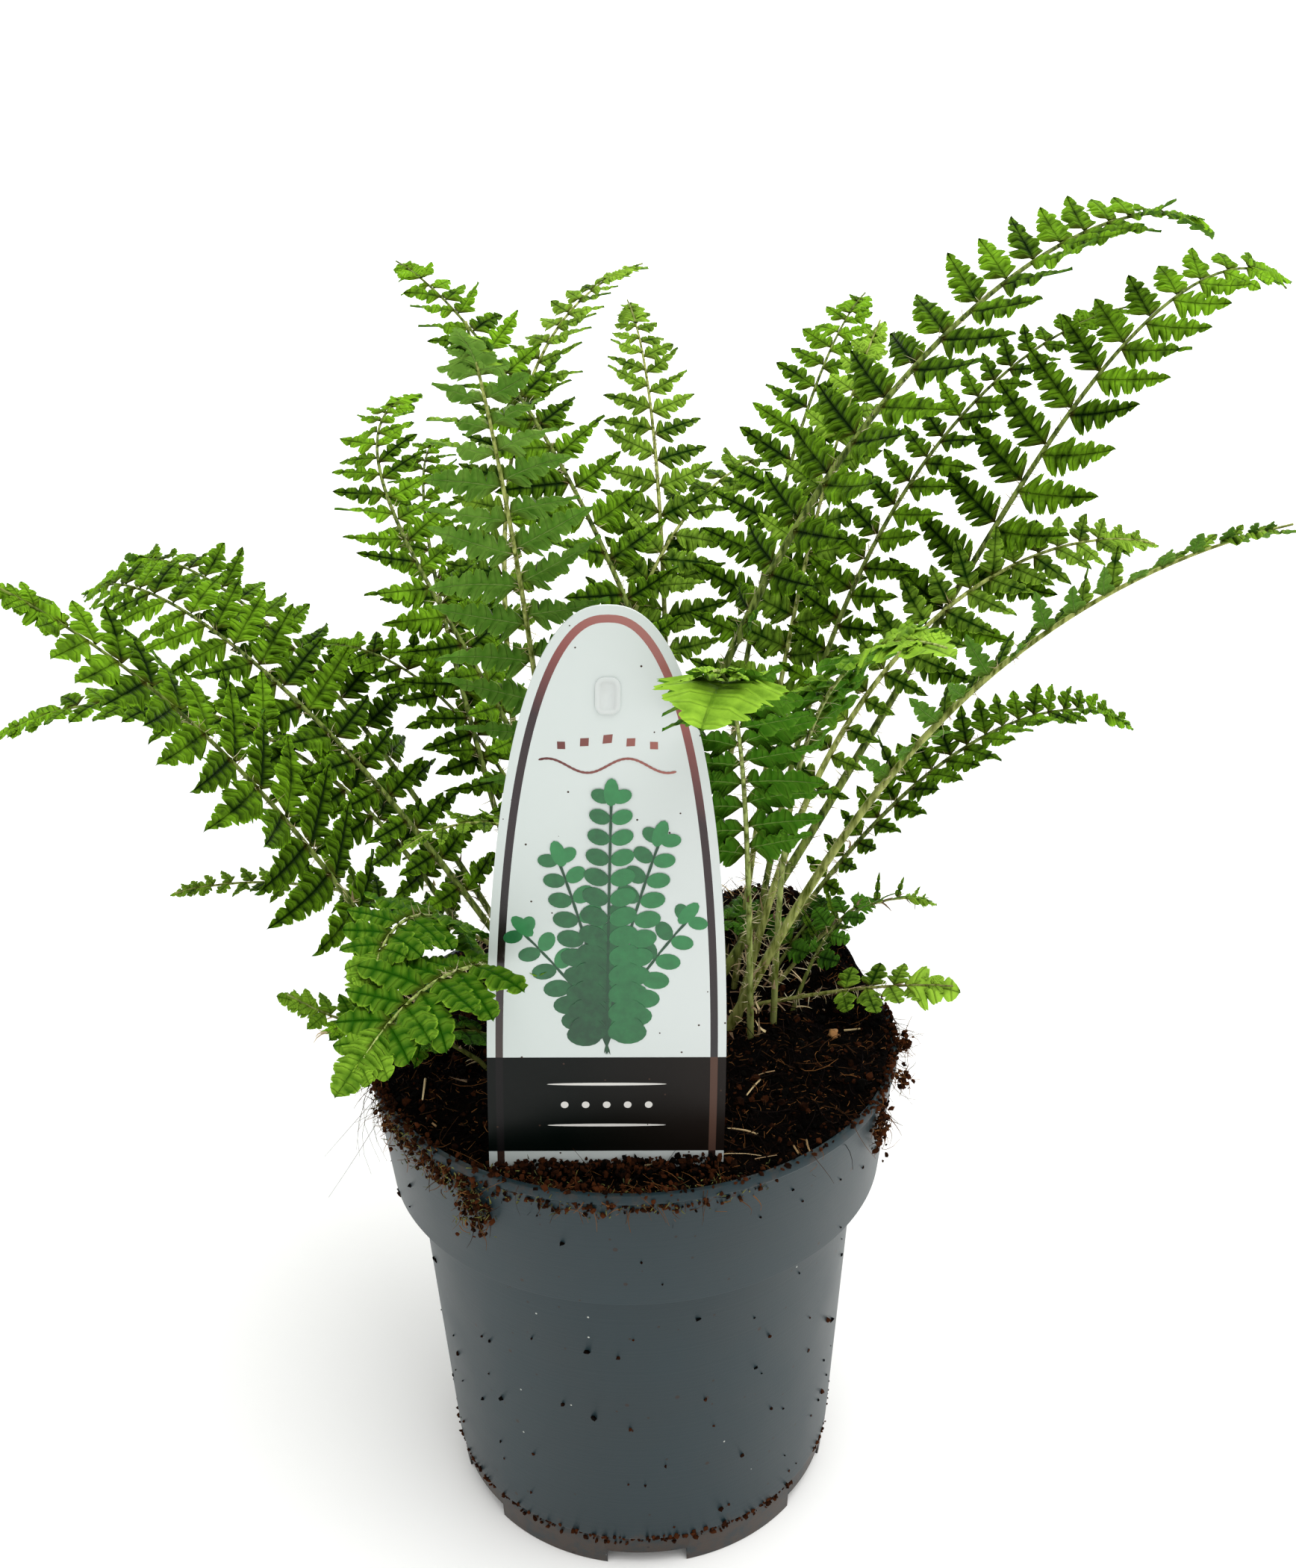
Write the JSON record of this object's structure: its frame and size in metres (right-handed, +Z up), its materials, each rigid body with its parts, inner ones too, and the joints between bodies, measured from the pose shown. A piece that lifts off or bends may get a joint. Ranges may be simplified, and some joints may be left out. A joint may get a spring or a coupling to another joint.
{
  "type": "potted wood fern",
  "caption": "Clump-forming fern with arching, cut-leaved fronds in a round nursery pot of peat, with a blank arched plant label standing at the front",
  "frame": {"origin": "middle of the pot's underside, on the surface that it stands on", "axes": "+Z up along the pot's axis, -Y towards the front with the plant label, +X to the right seen from the front"},
  "size_m": [0.4027, 0.2904, 0.409],
  "materials": {
    "pot_plastic": "satin moulded slate-grey plastic",
    "peat": "damp dark brown peat with fibres",
    "label_card": "gloss white card with a plain border",
    "frond_mature": "living leaf, dark green, soft sheen",
    "frond_fresh": "living leaf, mid green, soft sheen",
    "frond_young": "young leaf, yellow-green, soft sheen"
  },
  "bodies": {
    "root": {"pot": "pot_plastic", "soil": "peat", "label": "label_card", "frond_front_1": "frond_fresh", "frond_front_2": "frond_young", "frond_front_3": "frond_young", "frond_front_4": "frond_young", "frond_front_5": "frond_young", "frond_front_6": "frond_fresh", "frond_right_1": "frond_mature", "frond_right_2": "frond_mature", "frond_right_3": "frond_mature", "frond_right_4": "frond_fresh", "frond_right_5": "frond_fresh", "frond_right_6": "frond_mature", "frond_right_7": "frond_fresh", "frond_right_8": "frond_fresh", "frond_right_9": "frond_young", "frond_left_1": "frond_mature", "frond_left_2": "frond_mature", "frond_left_3": "frond_mature", "frond_left_4": "frond_mature", "frond_left_5": "frond_fresh", "frond_left_6": "frond_mature", "frond_left_7": "frond_young", "frond_left_8": "frond_mature", "frond_back_1": "frond_fresh", "frond_back_2": "frond_mature", "frond_back_3": "frond_fresh", "frond_back_4": "frond_mature", "frond_back_5": "frond_fresh", "frond_back_6": "frond_mature", "frond_back_7": "frond_mature", "frond_back_8": "frond_fresh"}
  },
  "joints": []
}
